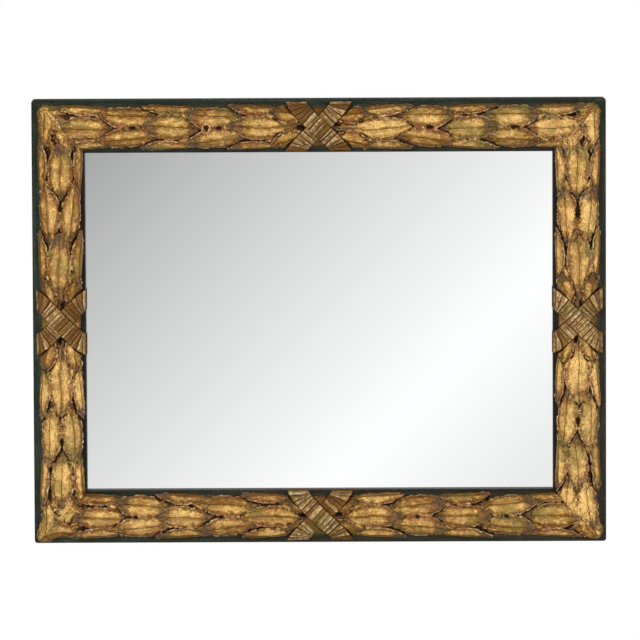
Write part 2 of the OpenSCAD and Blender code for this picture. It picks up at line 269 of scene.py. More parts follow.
class Graph:
    """Short ways to write a shader tree or a geometry tree."""

    def __init__(self, tree):
        self.tree = tree
        tree.nodes.clear()

    def feed(self, socket, value):
        if isinstance(value, Value):
            self.tree.links.new(value.socket, socket)
        else:
            socket.default_value = (*value, 1.0) if socket.type == "RGBA" else value

    def add(self, kind, inputs=(), **options):
        """Adds a node and gives its outputs by name, and the node."""
        made = self.tree.nodes.new(kind)
        for name, value in options.items():
            setattr(made, name, value)
        for key, value in dict(inputs).items():
            self.feed(made.inputs[key], value)
        return {socket.name: Value(self, socket) for socket in made.outputs}, made

    def out(self, kind, inputs=(), output=0, **options):
        """Adds a node and gives one of its outputs."""
        made = self.add(kind, inputs, **options)[1]
        return Value(self, made.outputs[output])

    def math(self, operation, *values):
        return self.out("ShaderNodeMath", enumerate(values), operation=operation)

    def vector(self, operation, *values):
        return self.out("ShaderNodeVectorMath", enumerate(values), operation=operation)

    def xyz(self, x=0.0, y=0.0, z=0.0):
        return self.out("ShaderNodeCombineXYZ", {"X": x, "Y": y, "Z": z})

    def split(self, vector):
        return self.add("ShaderNodeSeparateXYZ", {"Vector": vector})[0].values()

    def mix(self, factor, first, second):
        return self.out("ShaderNodeMix", {"Factor": factor, 6: first, 7: second}, 2,
                        data_type="RGBA", clamp_factor=True)

    def layers(self, tone, *coats):
        """A colour under coats, each of them how thickly it lies and its colour."""
        for factor, coat in coats:
            tone = self.mix(factor, tone, coat)
        return tone

    def choose(self, factor, first, second):
        """The first number where the factor is 0, the second where it is 1."""
        return self.out("ShaderNodeMix", {"Factor": factor, "A": first, "B": second},
                        data_type="FLOAT")

    def noise(self, where, scale, detail=2.0, rough=0.5, stretch=None, output="Fac"):
        if stretch:
            where = self.vector("MULTIPLY", where, stretch)
        return self.out("ShaderNodeTexNoise", {
            "Vector": where, "Scale": scale, "Detail": detail, "Roughness": rough,
        }, output)

    def named(self, *names):
        """Attributes for a geometry tree."""
        return [self.out("GeometryNodeInputNamedAttribute", {"Name": name}, data_type="FLOAT")
                for name in names]

    def attribute(self, name, output="Fac"):
        """An attribute for a shader tree."""
        return self.out("ShaderNodeAttribute", (), output, attribute_name=name)

    def bump(self, height, depth, strength):
        return self.out("ShaderNodeBump", {"Height": height, "Distance": depth,
                                           "Strength": strength})

    def surface(self, **sockets):
        """A Principled surface; an underscore in a name stands for a space."""
        shader = self.out("ShaderNodeBsdfPrincipled", {
            name.replace("_", " "): value for name, value in sockets.items()})
        self.add("ShaderNodeOutputMaterial", {"Surface": shader})

    def instances(self, points, template, turn, scale=(1.0, 1.0, 1.0)):
        """Real copies of an object on points."""
        placed = self.out("GeometryNodeInstanceOnPoints", {
            "Points": points, "Rotation": turn, "Scale": scale,
            "Instance": self.out("GeometryNodeObjectInfo", {"Object": template}, "Geometry"),
        })
        return self.out("GeometryNodeRealizeInstances", {"Geometry": placed})

    def moved(self, solid, **move):
        return self.out("GeometryNodeSetPosition", {"Geometry": solid, **move})

    def stored(self, solid, name, value, kind="FLOAT"):
        return self.out("GeometryNodeStoreNamedAttribute", {
            "Geometry": solid, "Name": name, "Value": value}, data_type=kind, domain="POINT")

    def finish(self, solid, material):
        """The end of a geometry tree: the realized shape with its material."""
        solid = self.out("GeometryNodeSetMaterial", {"Geometry": solid, "Material": material})
        self.add("NodeGroupOutput", {0: solid})
        return self.tree


def new_material(name):
    made = bpy.data.materials.new(name)
    made.use_nodes = True
    graph = Graph(made.node_tree)
    return made, graph, graph.out("ShaderNodeTexCoord", (), "Object")


def finish_nodes(material, *names):
    """Gives CAD nodes their material."""
    for name in names:
        mesh = NODES[name].data
        mesh.materials.clear()
        mesh.materials.append(material)


def scaled(tone, *factors):
    """A colour times one factor, or times one for each channel."""
    return tuple(c * k for c, k in zip(tone, factors if len(factors) == 3 else factors * 3))


def read(mesh, name):
    """The values of a point attribute; "position" is one too."""
    layer = mesh.attributes[name]
    field, width = ("vector", 3) if layer.data_type == "FLOAT_VECTOR" else ("value", 1)
    values = np.zeros(len(layer.data) * width, np.float32)
    layer.data.foreach_get(field, values)
    return values.reshape(-1, 3) if width == 3 else values


def write(mesh, **attributes):
    """Stores numbers or vectors on the points, or one number on all of them."""
    for name, values in attributes.items():
        values = np.asarray(values, np.float32)
        if values.ndim == 0:
            values = np.full(len(mesh.vertices), values)
        kind, field = ("FLOAT", "value") if values.ndim == 1 else ("FLOAT_VECTOR", "vector")
        layer = mesh.attributes.get(name) or mesh.attributes.new(name, kind, "POINT")
        layer.data.foreach_set(field, values.ravel())
    mesh.update()


def drop(mesh, *names):
    """Removes the attributes that no material reads."""
    for name in names:
        mesh.attributes.remove(mesh.attributes[name])


def frontward(mesh):
    """How far each point faces the front, from 0 to 1."""
    values = np.zeros(len(mesh.vertices) * 3, np.float32)
    mesh.vertex_normals.foreach_get("vector", values)
    return np.clip(values[2::3], 0, 1)


def mesh_object(name, vertices, faces=(), **attributes):
    mesh = bpy.data.meshes.new(name)
    mesh.from_pydata(vertices, [], faces)
    write(mesh, **attributes)
    made = bpy.data.objects.new(name, mesh)
    bpy.context.scene.collection.objects.link(made)
    return made


def bake(obj):
    """Keeps what an object's modifiers make as its plain mesh."""
    depsgraph = bpy.context.evaluated_depsgraph_get()
    mesh = bpy.data.meshes.new_from_object(
        obj.evaluated_get(depsgraph), preserve_all_data_layers=True, depsgraph=depsgraph
    )
    obj.modifiers.clear()
    old, obj.data = obj.data, mesh
    bpy.data.meshes.remove(old)
    return obj


def run_geometry(obj, tree, inputs):
    """Runs a geometry tree on an object."""
    modifier = obj.modifiers.new("Rule", "NODES")
    modifier.node_group = tree
    for item in tree.interface.items_tree:
        if item.in_out == "INPUT" and item.name in inputs:
            modifier[item.identifier] = inputs[item.name]
    return bake(obj)


def geometry_tree(name, inputs):
    """A geometry tree; each named input has its kind of socket, or a number's default."""
    tree = bpy.data.node_groups.new(name, "GeometryNodeTree")
    add = tree.interface.new_socket
    add("Geometry", in_out="INPUT", socket_type="NodeSocketGeometry")
    for key, default in inputs.items():
        kind = default if isinstance(default, str) else "Float"
        made = add(key, in_out="INPUT", socket_type="NodeSocket" + kind)
        if kind == "Float":
            made.default_value = default
    add("Geometry", in_out="OUTPUT", socket_type="NodeSocketGeometry")
    graph = Graph(tree)
    return graph, graph.add("NodeGroupInput")[0]


def garland_width():
    f = settings("frame")
    return f.rail_width - f.border_out - f.border_in


def outer_edge():
    """From the garland's middle to the frame's outer edge."""
    return settings("frame").border_out + garland_width() / 2


def place_on_side(obj, side, flipped):
    """Moves a mesh from a side's own space to the mirror's."""
    turn, reach, _ = SIDES[side]
    matrix = (
        Matrix.Translation((0, BACK_Y, 0))
        @ Matrix.Rotation(math.radians(turn), 4, "Y")
        @ Matrix.Translation((0, 0, reach - outer_edge()))
        @ Matrix.Rotation(math.radians(90), 4, "X")
    )
    if flipped:
        matrix = matrix @ Matrix.Scale(-1, 4, (1, 0, 0))
    obj.data.transform(matrix)
    if flipped:
        obj.data.flip_normals()
    obj.data.update()


def neighbours(size):
    """Each place on a closed ring, and the next one."""
    return zip(range(size), [*range(1, size), 0])


def loft(rings, size, flipped):
    """Faces of a closed tube through rings of equal size, capped at both ends."""
    faces = [(i * size + j, i * size + k, (i + 1) * size + k, (i + 1) * size + j)
             for i in range(rings - 1) for j, k in neighbours(size)]
    faces += [tuple(range(size))[::-1], tuple((rings - 1) * size + j for j in range(size))]
    return [face[::-1] for face in faces] if flipped else faces


def turned(name, profile, turns, capped=False, **attributes):
    """A shape turned about Z from radii and heights; a radius of 0 makes one point."""
    vertices, rings = [], []
    for r, z in profile:
        points = turns if r else 1
        rings.append([len(vertices) + i % points for i in range(turns)])
        vertices += [(r * math.cos(2 * math.pi * i / turns), r * math.sin(2 * math.pi * i / turns),
                      z) for i in range(points)]
    faces = [tuple(dict.fromkeys((low[i], high[i], high[k], low[k])))
             for low, high in zip(rings, rings[1:]) for i, k in neighbours(turns)]
    if capped:
        faces += [rings[0], rings[-1][::-1]]
    return mesh_object(name, vertices, faces, **attributes)


def smooth(values, low, high):
    t = np.clip((values - low) / (high - low), 0, 1)
    return t * t * (3 - 2 * t)


def blade_width(u):
    return np.sin(np.pi * np.clip(u, 0.01, 0.994) ** 1.25) ** 0.68


def leaf_template(name, long, half, rise, veins):
    """A leaf lying flat, from its base at -long to its tip at 0, with a midrib."""
    g = settings("garland")
    u = np.linspace(0, 1, STATIONS)[:, None]
    v = np.linspace(-1, 1, ACROSS + 1)[None, :]
    w = np.linspace(1, -1, UNDER)[None, :] * 0.96
    lift = 0.2 * MM + (rise - 0.2 * MM) * u + 0.6 * MM * np.sin(np.pi * u)
    full = np.sqrt(blade_width(u))
    a = np.abs(v)
    crown = g.crown * (1 - a ** 1.25) * full
    groove = 1.25 * MM * np.exp(-(v / 0.065) ** 2) * full
    cup = 0.35 * MM * np.sin(np.pi * a) * full
    rim = 0.8 * MM * np.exp(-((a - 0.93) / 0.08) ** 2) * smooth(u, 0.15, 0.5)
    vein = veins * np.sin(2 * np.pi * (u * 9 - a * 1.7)) * a * (1 - a) * 4
    top = lift + crown - cup - groove + rim + vein
    under = lift - g.leaf_thickness - 4.5 * MM * (1 - u) + 0.4 * MM * (1 - w ** 2)
    across = np.concatenate([v, w], 1) + 0 * u
    along = u + 0 * across
    upper = (np.arange(across.shape[1]) <= ACROSS) + 0 * across
    rings = np.stack([-long * (1 - along), half * blade_width(u) * across,
                      np.concatenate([top, under], 1)], -1)
    return mesh_object(name, rings.reshape(-1, 3), loft(STATIONS, across.shape[1], True),
                       along=along.ravel(), across=across.ravel(), upper=upper.ravel())


def berry_template(name, radius):
    """A round berry in a shallow cup, turned from one profile."""
    turns, scale = 20, radius / (BERRY_PROFILE[-2][0] * MM)
    rim = [0.97 * (4.6 < r < 7 and z > 0) for r, z in BERRY_PROFILE
           for _ in range(turns if r else 1)]
    return turned(name, [(r * scale * MM, z * MM) for r, z in BERRY_PROFILE], turns,
                  along=0.35, across=rim, upper=1)


def garland_tree():
    """Leaves on points, worked with tool marks and laid round the core."""
    g, start = geometry_tree("Laurel Garland", {
        "Leaf": "Object", "Core Half Width": 0.034, "Core Height": 0.021,
        "Face Height": 0.028, "Ragged": 0.002, "Lumps": 0.001, "Seed": 0.0,
        "Material": "Material",
    })
    size, long, turn, across, upper, rough, along, mitred = g.named(
        "size", "long", "turn", "across", "upper", "rough", "along", "mitred")
    solid = g.instances(start["Geometry"], start["Leaf"], g.xyz(z=turn), g.xyz(long, size, 1.0))

    here = g.out("GeometryNodeInputPosition")
    spot = g.vector("ADD", here, g.xyz(z=start["Seed"]))
    x, y, z = g.split(here)

    def unevenness(scale, detail):
        marks = g.noise(spot, scale, detail, output="Color")
        return g.vector("SUBTRACT", marks, (0.5, 0.5, 0.5))

    def upright(scale, detail):
        _, _, marks = g.split(unevenness(scale, detail))
        return marks

    # The torn edges, calmer where a leaf stands out over the frame
    edge = abs(across) ** 4.0
    calm = abs(y).span(38.0 * MM, 50.0 * MM, 1.0, 0.45)
    ragged = start["Ragged"] * rough * calm
    jitter = g.out("ShaderNodeVectorMath", {
        0: unevenness(78.0, 1.0), "Scale": edge * (ragged * 1.6)}, operation="SCALE")
    bend = g.noise(spot, 16.0, 0.0) * (9.0 * MM) + -4.5 * MM
    notch = g.noise(spot, 95.0, 1.0).span(0.56, 0.68) * ragged
    notched = g.xyz(y=bend - notch * edge * across)

    # The tool marks and creases, softest on the middle of the crowns
    ends = along.span(0.72, 0.98, 0.0, 0.7) + along.span(0.45, 0.12)
    soft = across ** 2.0 * 1.3 + 0.22 + ends
    crumple = (abs(g.noise(spot, 80.0, 1.0) - 0.5) * 7.5).least(1.0) - 0.7
    lumps = start["Lumps"] * (rough * upper) * calm
    swell = upright(70.0, 1.0) * 1.5 + upright(260.0, 2.0) + crumple
    raised = g.xyz(z=lumps * swell * soft)
    worked = g.vector("ADD", g.vector("ADD", jitter, notched), g.vector("ADD", raised, here))
    solid = g.moved(solid, Position=worked)

    # Laid round the core, and pressed down beneath the ribbons
    turn = y / start["Core Half Width"]
    wide = start["Core Half Width"]
    forward = x + (wide * g.math("SINE", turn) - y) * mitred
    solid = g.stored(solid, "unrolled", g.xyz(forward, y, z), "FLOAT_VECTOR")
    rise = z.least(z * forward.span(30.0 * MM, 85.0 * MM, 0.12, 1.0))
    sideways = (wide + rise) * g.math("SINE", turn)
    upwards = (start["Core Height"] + rise) * g.math("COSINE", turn) + start["Face Height"]
    return g.finish(g.moved(solid, Position=g.xyz(forward, sideways, upwards)),
                    start["Material"])


def leaf(kind, tip, angle=0.0, lift=0.0, turn=0.0, **changes):
    """Where a leaf's tip or a berry lies, and how it differs from its template."""
    at = (tip, angle * settings("garland").core_half_width, lift * MM)
    return {"kind": kind, "at": at, "turn": turn, "size": 1.0, "long": 1.0, "rough": 1.0,
            "shade": 0.0, "mitred": 0.0, "clear": False, **changes}


def leaf_rows(half, broad_tip, pitch, ringed):
    """The leaves and berries of a run: rows of one broad leaf and of a pair take turns."""
    g = settings("garland")
    for k in range(g.rows):
        tip = broad_tip + (k - 1) * pitch
        if tip - g.leaf_length > half - 0.6 * outer_edge():
            continue
        if k % 2:
            yield leaf("broad", tip, long=1.18 if k == 1 else 1.0)
            for side in (-1, 1):
                yield leaf("flank", tip + 3 * MM, side * g.flank_angle, size=0.88, rough=1.2)
                yield leaf("sprig", tip + 6 * MM, side * 0.60, 1.2, 0.45 * side, size=0.9,
                           rough=1.3, shade=-0.6)
            continue
        for side in (-1, 1):
            yield leaf("sprig", tip + 14 * MM, side * 0.78, 1.4, 0.3 * side, size=1.1,
                       rough=1.2, shade=-0.3)
            if k == 0:
                yield leaf("first", tip, side * 0.80, 1.2, 0.06 * side, size=1.08, rough=1.8,
                           shade=-0.8)
            elif tip < half:
                yield leaf("pair", tip, side * g.pair_angle, 0, 0.06 * side, size=1.06)
            else:
                yield leaf("pair", tip, side * g.pair_angle, 0.4, -0.10 if side > 0 else 0.05,
                           size=0.98, rough=1.6)
        for ahead in (18 * MM, 35 * MM):
            if k and tip - pitch + ahead < half - outer_edge() - 12 * MM:
                if ringed and k == 2 and ahead > 30 * MM:
                    yield leaf("berry", tip - pitch + ahead + 4 * MM, 0.0, 5.8, rough=0.2,
                               shade=0.6, size=1.25, long=1.25, clear=True)
                else:
                    yield leaf("berry", tip - pitch + ahead, 0.0, 4.1, rough=0.2, shade=-0.6)


def spare_leaves(half):
    """Small leaves that fill the corner beside the mitre and the gaps beside the ribbons."""
    corner = half - outer_edge()
    for ahead, angle, lift, turn, size, rough in (
            (30, 0.50, 2.4, 0.4, 1.5, 1.7), (37, 1.15, 2.0, -0.2, 1.3, 1.7),
            (4, 0.22, 2.2, 0.7, 1.5, 1.7), (-4, -0.42, 2.0, -0.3, 1.4, 1.5)):
        yield leaf("sprig", corner + ahead * MM, angle, lift, turn, size=size, rough=rough)
    yield leaf("first", corner + 26 * MM, 0.10, 0.4, 0.35, rough=1.8)
    yield leaf("corner", corner + 45 * MM, 1.32, 2.6, math.pi / 4, rough=2.2, mitred=1.0)
    for side in (-1, 1):
        yield leaf("first", 30 * MM, side * 0.95, -0.4, 0.1 * side, size=0.9, rough=1.9,
                   shade=-0.8)


def core_rod(name, half):
    """The round core under the leaves."""
    g, f = settings("garland"), settings("frame")
    arc, wide, high = g.core_half_width, g.core_half_width - MM, g.core_height - MM
    turns, steps = 24, 60
    ring = [(wide * math.sin(a), f.rail_depth + high * math.cos(a))
            for a in (math.pi * (i / turns - 0.5) for i in range(turns + 1))]
    ring = [(-wide, f.rail_depth - MM), *ring, (wide, f.rail_depth - MM)]
    vertices = [(half * i / steps, y, z) for i in range(steps + 1) for y, z in ring]
    flat = [(x, arc * math.atan2(y / arc, (z - f.rail_depth) / g.core_height), -MM)
            for x, y, z in vertices]
    return mesh_object(name, vertices, loft(steps + 1, len(ring), True), along=0.2, across=0.6,
                       upper=1, rough=1, shade=0.2, unrolled=flat)


def join(objects, name):
    """One object from several, with their meshes merged as they are."""
    with bpy.context.temp_override(active_object=objects[0], object=objects[0],
                                   selected_objects=objects, selected_editable_objects=objects):
        bpy.ops.object.join()
    objects[0].name = objects[0].data.name = name
    return objects[0]


def cut(mesh, point, normal):
    """Cuts away what lies beyond a plane and closes the cut."""
    bm = bmesh.new()
    bm.from_mesh(mesh)
    bmesh.ops.bisect_plane(bm, geom=bm.verts[:] + bm.edges[:] + bm.faces[:], plane_co=point,
                           plane_no=normal, clear_outer=True, dist=1e-6)
    bmesh.ops.holes_fill(bm, edges=[e for e in bm.edges if e.is_boundary], sides=0)
    bm.to_mesh(mesh)
    bm.free()


def shade_hollows(mesh):
    """Stores how deep each point lies among its neighbours and how far it faces the front."""
    cell = 0.9 * MM
    flat, upper = read(mesh, "unrolled"), read(mesh, "upper") > 0.5
    low = flat[:, :2].min(0) - 6 * cell
    shape = np.ceil((flat[:, :2].max(0) - low) / cell).astype(int) + 12
    spots = ((flat[:, :2] - low) / cell).astype(int)
    heights = np.full(shape, -0.002, np.float32)
    for dx in (-1, 0, 1):
        for dy in (-1, 0, 1):
            np.maximum.at(heights, (spots[upper, 0] + dx, spots[upper, 1] + dy), flat[upper, 2])

    def blurred(field, reach):
        for axis in (0, 1):
            padded = np.pad(field, [(reach, reach) if i == axis else (0, 0) for i in (0, 1)],
                            mode="edge")
            field = sum(np.roll(padded, s, axis) for s in range(-reach, reach + 1))
            field = np.take(field, range(reach, field.shape[axis] - reach), axis)
            field = field / (2 * reach + 1)
        return field

    near = blurred(heights, 3)[spots[:, 0], spots[:, 1]]
    far = blurred(blurred(heights, 5), 5)[spots[:, 0], spots[:, 1]]
    # The depth becomes painted shade in the gilding, the undersides deepest of all
    depth = np.maximum((near - flat[:, 2]) / (2.6 * MM), (far - flat[:, 2]) / (5.0 * MM))
    depth = np.clip(depth, 0, 1)
    depth[~upper] = 1.5
    write(mesh, recess=depth, height=np.clip((flat[:, 2] - far) / (2.0 * MM), 0, 1),
          facing=frontward(mesh))


def press_in(mesh, deep, hollow, dark):
    """Sinks the points and darkens them, as far as hollow says from 0 to 1."""
    points = read(mesh, "position")
    points[:, 2] -= deep * MM * hollow
    write(mesh, position=points, recess=np.maximum(read(mesh, "recess"), dark * hollow))


def hollow_beside_ribbons(mesh, across):
    """Deepens the grime and the painted shadow beside the ribbons, and cuts a hollow, painted dark
    as its shade, where the bands part.
    """
    centre, _, _, half = band_path(60)
    points, recess = read(mesh, "position"), read(mesh, "recess")
    near = np.flatnonzero(np.abs(points[:, 0]) < 75 * MM)
    gap = np.full(len(near), 1.0)
    for middle, reach in zip(centre, half):
        for turn in (-1, 1):
            away = np.hypot(*(points[near, :2] - middle * (turn, 1)).T) - reach
            gap = np.minimum(gap, away)
    recess[near] = np.maximum(recess[near], 1.1 * np.clip(1 - gap / (3.2 * MM), 0, 1))
    write(mesh, recess=recess)
    away = np.hypot((points[:, 0] - 31 * MM) / 9, (points[:, 1] - across) / 3.8) / MM
    press_in(mesh, 5, smooth(away, 1.15, 0.65) * (read(mesh, "upper") > 0.5), 1.35)


def sink(mesh, place, long, wide, deep):
    """Sinks a small, ragged hole between the leaves of a pair, painted dark as its shade."""
    flat = read(mesh, "unrolled") / MM
    along = (flat[:, 0] - place) / long
    away = np.hypot(along, flat[:, 1] / wide / np.clip(1 - 0.5 * along, 0.5, 1.5))
    away += 0.2 * np.sin(flat[:, 0] * 0.9) * np.cos(flat[:, 1] * 0.7)
    press_in(mesh, deep, smooth(away, 1.2, 0.6), 1.3)


def draw_corner(mesh, reach, corner):
    """Draws the garland out to its corner, as far as the carver took it."""
    plain = 47 * MM
    points = read(mesh, "position")
    x, y = points[:, 0] - (reach - outer_edge()), points[:, 1]
    away = np.hypot(x, y)
    lean = np.abs(np.arctan2(y, x) - math.pi / 4)
    near = smooth(lean, 0.62, 0.05) * (x > 0) * (y > 0)
    drawn = away * (1 + near * (corner / plain - 1) * smooth(away, 22 * MM, plain))
    limit = plain + near * (corner - plain)
    beyond = (x > 0) & (y > 0) & (drawn > limit)
    drawn[beyond] = limit[beyond] + (drawn - limit)[beyond] * 0.2
    scale = drawn / np.maximum(away, 1e-6)
    points[:, 0] += x * (scale - 1)
    points[:, 1] = y * scale
    write(mesh, position=points)


def gilding(name, seed, variety, glint_strength, lift=0.05):
    """Water gilding over red ground, toned, rubbed and painted with light and shade, from the
    carving's own attributes.
    """
    s = settings("gilding")
    made, g, where = new_material(name)
    where = g.vector("ADD", where, (seed, 0.0, -seed))
    lie = g.attribute("unrolled", "Vector")
    streak = g.noise(lie, 420.0, 3.0, 0.6, (0.10, 1.0, 1.0))
    patch = g.noise(lie, 185.0, 4.0, 0.66, (0.55, 1.0, 1.0))
    speck = g.noise(where, 420.0, 3.0, 0.6)
    fleck, mossy = g.noise(where, 240.0), g.noise(where, 24.0)
    facing, recess, edge, tip, shade, height = (g.attribute(key) for key in (
        "facing", "recess", "edge", "tip", "shade", "height"))

    # How much gold is left, from the toned flanks to the rubbed crowns, with painted light:
    # brighter where the surface faces the front, darker where it turns away
    gold_and_light = facing.span(0.50, 0.985, -0.16, 0.46) + g.noise(where, 34.0, 3.0, 0.6) * 0.9
    gold_and_light += edge.span(0.02, 0.32, -0.26, 0.20) - edge.span(0.45, 0.95, 0.0, 0.85)
    gold_and_light += patch * 2.4 + speck * 0.8 + streak * 0.8 + shade * variety
    gold_and_light = (gold_and_light - tip * 0.45 + (lift - variety / 2 - 2.34)).clamped()
    # Painted shade on the flanks that turn away from the front, left off where painted glints are
    # strong
    flank = facing.span(0.62, 0.20) * patch.span(0.40, 0.58, 0.75, 0.1) * (1.0 - glint_strength)

    # The red ground, mostly near the edges and the tips, and painted shade in the creases
    outer = edge.span(0.35, 0.80).most(tip.span(0.10, 0.60))
    ruddy = g.noise(where, 52.0).span(0.48, 0.64) * (outer * 0.50 + 0.35)
    ruddy = ruddy.most(edge.span(0.55, 0.9) * patch.span(0.62, 0.45, 0.0, 0.6))
    crease = abs(g.noise(lie, 105.0, 3.0, 0.6, (0.7, 1.0, 1.0)) - 0.5)
    crease = crease.span(0.055, 0.0) * patch.span(0.42, 0.54) * (outer * 0.6 + 0.4)

    # Grime on the tips, painted shade at the leaf bases and in the hollows over the clay ground,
    # and a dark line along the midribs
    dusty = g.noise(where, 38.0, 3.0, 0.6).span(0.52, 0.66) * speck.span(0.40, 0.60)
    grime_and_base_shade = (tip.span(0.20, 0.95) * patch.span(0.34, 0.54) * 0.8).most(dusty * 0.5)
    hollow = recess + speck * 0.5 - 0.25
    midrib = edge.span(0.055, 0.012) * patch.span(0.36, 0.62, 0.15, 0.90)

    # Edges rubbed to the gesso, which also stand in for painted highlights, and painted glints on
    # crests and edges
    rub_and_highlight = edge.span(0.80, 0.94) * patch.span(0.44, 0.54) * recess.span(0.15, 0.60, 1.0, 0.0)
    glint = g.noise(where, 150.0, 3.0, 0.6).span(0.42, 0.62) * edge.span(0.62, 0.95)
    glint *= recess.span(0.05, 0.40, glint_strength, 0.0) * shade.span(0.35, 0.75)
    tone = g.layers(
        s.brown, (gold_and_light.span(0.0, 0.42), s.gold), (gold_and_light.span(0.38, 0.95), s.bright),
        (ruddy, s.russet), (fleck.span(0.56, 0.70, 0.0, 0.35), s.russet),
        (fleck.span(0.44, 0.32, 0.0, 0.35), s.olive), (mossy.span(0.52, 0.70, 0.0, 0.60), s.olive),
        (flank, s.umber), (crease * 0.85, s.crease), (grime_and_base_shade, s.tarnish),
        (hollow.span(0.32, 1.1), s.bole), (midrib, s.bole), (hollow.span(1.10, 1.35), s.depth),
        (rub_and_highlight * (height * 0.5 + 0.5) * 0.85, s.worn), (glint, s.glint),
        (g.noise(where, 650.0).span(0.60, 0.70) * 0.5, s.bole))
    g.surface(Base_Color=tone, Metallic=hollow.span(0.1, 0.6, 0.35, 0.0),
              Roughness=(patch * 0.30 + 0.24 + hollow * 0.25).clamped(), Specular_IOR_Level=0.06,
              Normal=g.bump(speck * 0.6 + patch * 0.8 + streak - crease * 1.1, 0.0014, 0.9))
    return made


class MIRROR_OT_laurel(bpy.types.Operator):
    """Carves the eight runs of laurel and gilds them"""
    bl_idname = "mirror.laurel"
    bl_label = "Laurel Garland"

    def execute(self, context):
        g, f = settings("garland"), settings("frame")
        half = g.core_half_width * g.leaf_angle
        kinds = {kind: leaf_template("leaf_" + kind, *shape) for kind, shape in {
            "broad": (g.leaf_length, half, g.leaf_rise, 0.12 * MM),
            "pair": (g.leaf_length, half, g.side_rise, 0.15 * MM),
            "flank": (g.leaf_length, half, g.side_rise, 0.15 * MM),
            "first": (74 * MM, half * 0.92, g.leaf_rise, 0.4 * MM),
            "sprig": (46 * MM, half * 0.40, 1.5 * MM, 0.4 * MM),
            "corner": (70 * MM, half * 0.66, 2.0 * MM, 0.3 * MM),
        }.items()}
        kinds["berry"] = berry_template("berry", g.berry_radius)
        tree = garland_tree()
        material = gilding("laurel_gilding", 0.0, 0.4, 0.12)
        random = np.random.default_rng(g.seed)
        for number, (name, plan) in enumerate(RUNS.items()):
            side, flipped, broad_tip, pitch, corner, rubbed, ahead, long = plan
            _, _, reach = SIDES[side]
            rows = [*leaf_rows(reach, broad_tip * MM, pitch * MM, name == RINGED),
                    *spare_leaves(reach)]
            parts = [core_rod(name, reach)]
            holes = [(place, long, 2.0 + 0.16 * long, HOLE_DEPTH)
                     for place in (broad_tip + k * pitch + ahead for k in (0, 2))
                     if place < reach / MM - HOLE_END]
            for kind, template in kinds.items():
                chosen = [row for row in rows if row["kind"] == kind]
                if not chosen:
                    continue
                spots = [(tip + random.uniform(*STRAY) * MM, angle, lift)
                         for tip, angle, lift in (row["at"] for row in chosen)]
                holes += [(spot[0] / MM, *CLEAR_HOLE)
                          for spot, row in zip(spots, chosen) if row["clear"]]
                ways = {key: [row[key] for row in chosen]
                        for key in ("turn", "size", "shade", "long", "rough", "mitred")}
                ways["turn"] = [turn + random.uniform(*STRAY_TURN) * (1 - mitred)
                                for turn, mitred in zip(ways["turn"], ways["mitred"])]
                ways["size"] = [size * random.uniform(*STRAY_SIZE) for size in ways["size"]]
                ways["shade"] = [shade + random.uniform(0, 1) for shade in ways["shade"]]
                points = mesh_object(f"{name}_{kind}", spots, **ways)
                parts.append(run_geometry(points, tree, {
                    "Leaf": template, "Core Half Width": g.core_half_width,
                    "Core Height": g.core_height, "Face Height": f.rail_depth,
                    "Ragged": g.ragged, "Lumps": g.lumps, "Seed": float(number * 3 + g.seed),
                    "Material": material,
                }))
            run = join(parts, name + "_carved")
            mesh = run.data
            mesh.materials.clear()
            mesh.materials.append(material)
            draw_corner(mesh, reach, corner * MM)
            mitre = reach - outer_edge() - 0.2 * MM
            cut(mesh, (mitre, 0, 0), (1, -1, 0))
            cut(mesh, (0, 0, 0), (-1, 0, 0))
            for polygon in mesh.polygons:
                polygon.material_index = 0
            shade_hollows(mesh)
            hollow_beside_ribbons(mesh, random.uniform(-4, 4) * MM)
            for hole in holes:
                sink(mesh, *hole)
            # tip: grime towards the leaf tips, and painted shade at the leaf bases under the row
            # before
            along, shade = read(mesh, "along"), read(mesh, "shade")
            grimy = 0.3 + 1.3 * ((shade * 5.7) % 1)
            write(mesh, edge=np.abs(read(mesh, "across")), shade=shade + rubbed,
                  tip=grimy * smooth(along, 0.66, 0.97) + 1.3 * smooth(along, 0.42, 0.1),
                  unrolled=read(mesh, "unrolled") + (PATTERN_STEP * number, 0, 0))
            drop(mesh, "along", "across", "upper", "rough", "size", "long", "turn", "mitred")
            mesh.shade_smooth()
            place_on_side(run, side, flipped)
            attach(run, "frame")
            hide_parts(name)
        for template in kinds.values():
            bpy.data.objects.remove(template)
        return {"FINISHED"}


def pleat_tree():
    """Folds a smooth band into pleats along its own length."""
    g, start = geometry_tree("Ribbon Pleats", {
        "Depth": 0.0016, "Unevenness": 0.35, "Seed": 0.0, "Material": "Material"})
    along, upper = g.named("along", "upper")
    skew = g.noise(g.out("GeometryNodeInputPosition"), 30.0, 1.0)
    wander = g.out("ShaderNodeTexNoise", {
        "W": along * 0.45 + start["Seed"], "Scale": 1.0, "Detail": 1.0,
    }, "Fac", noise_dimensions="1D")
    phase = skew * 0.5 + (wander * start["Unevenness"] + along)
    part = g.math("FRACT", phase)
    rising = (part / 0.52).least(1.0) ** 0.75
    fold = rising.least(((1.0 - part) / 0.22).least(1.0))
    fold = (g.math("SINE", phase * (6 * math.pi)) * 0.10 + fold * 0.95).clamped()
    shade = g.out("ShaderNodeTexWhiteNoise", {
        "W": g.math("FLOOR", phase) + start["Seed"]}, "Value", noise_dimensions="1D")
    depth = start["Depth"] * (shade * 0.7 + 0.65) * upper
    solid = g.moved(start["Geometry"], Offset=g.xyz(z=(fold - 1.0) * depth))
    solid = g.stored(g.stored(solid, "fold", fold), "shade", shade)
    return g.finish(solid, start["Material"])


